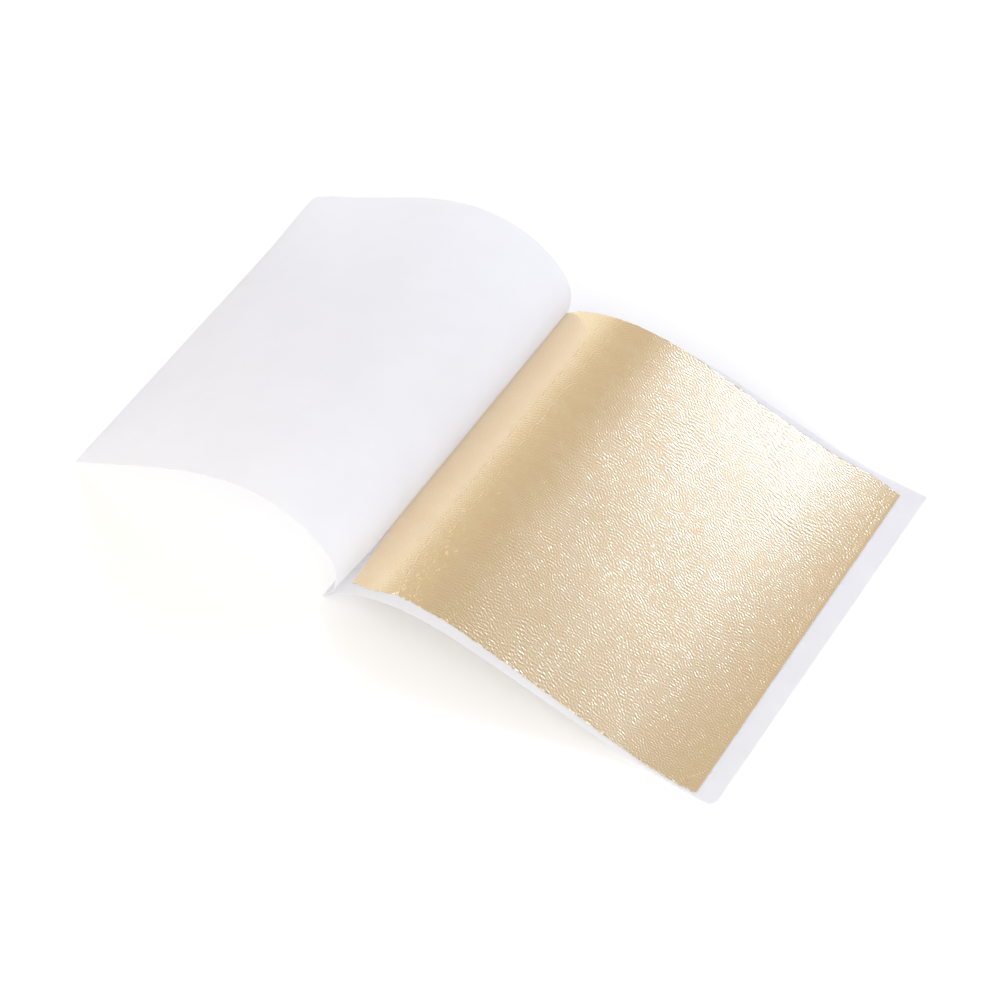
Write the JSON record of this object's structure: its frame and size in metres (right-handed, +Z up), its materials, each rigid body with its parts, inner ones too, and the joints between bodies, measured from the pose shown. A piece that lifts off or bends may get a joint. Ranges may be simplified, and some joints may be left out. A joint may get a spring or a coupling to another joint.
{
  "type": "gold leaf booklet",
  "caption": "Folded white tissue lying open with one page turned over in an arch, holding a square crinkled metal leaf on the other page.",
  "frame": {"origin": "on the table, at the middle of the ground that the open sheet covers", "axes": "+X across the fold towards the page with the leaf, +Y along the fold from its near to its far end, +Z up"},
  "size_m": [0.1428, 0.0826, 0.0217],
  "materials": {
    "tissue": "matt, faintly translucent",
    "metal_leaf": "satin, finely crinkled"
  },
  "bodies": {
    "resting_page": {"spine_fold": "tissue", "right_page": "tissue"},
    "leaf": {"gold_leaf": "metal_leaf"},
    "turned_page_1": {"turned_page_strip_1": "tissue"},
    "turned_page_2": {"turned_page_strip_2": "tissue"},
    "turned_page_3": {"turned_page_strip_3": "tissue"}
  },
  "joints": [
    {"name": "page_turn", "type": "hinge", "parent": "resting_page", "child": "turned_page_1", "pos_m": [-0.00997, 0, 0.00365], "axis": [0, 1, 0], "range_deg": [0, 23.5]},
    {"name": "page_bend_2", "type": "hinge", "parent": "turned_page_1", "child": "turned_page_2", "pos_m": [-0.01057, 0, 0.01272], "axis": [0, 1, 0], "range_deg": [0, 102]},
    {"name": "page_bend_3", "type": "hinge", "parent": "turned_page_2", "child": "turned_page_3", "pos_m": [-0.02168, 0, 0.02099], "axis": [0, 1, 0], "range_deg": [0, 86.5]},
    {"name": "leaf_slide", "type": "slide", "parent": "resting_page", "child": "leaf", "axis": [0, -1, 0], "range_m": [0, 0.085]}
  ],
  "couplings": [
    {"joint": "page_bend_2", "follows": "page_turn", "ratio": 4.3404},
    {"joint": "page_bend_3", "follows": "page_turn", "ratio": 3.6808}
  ]
}
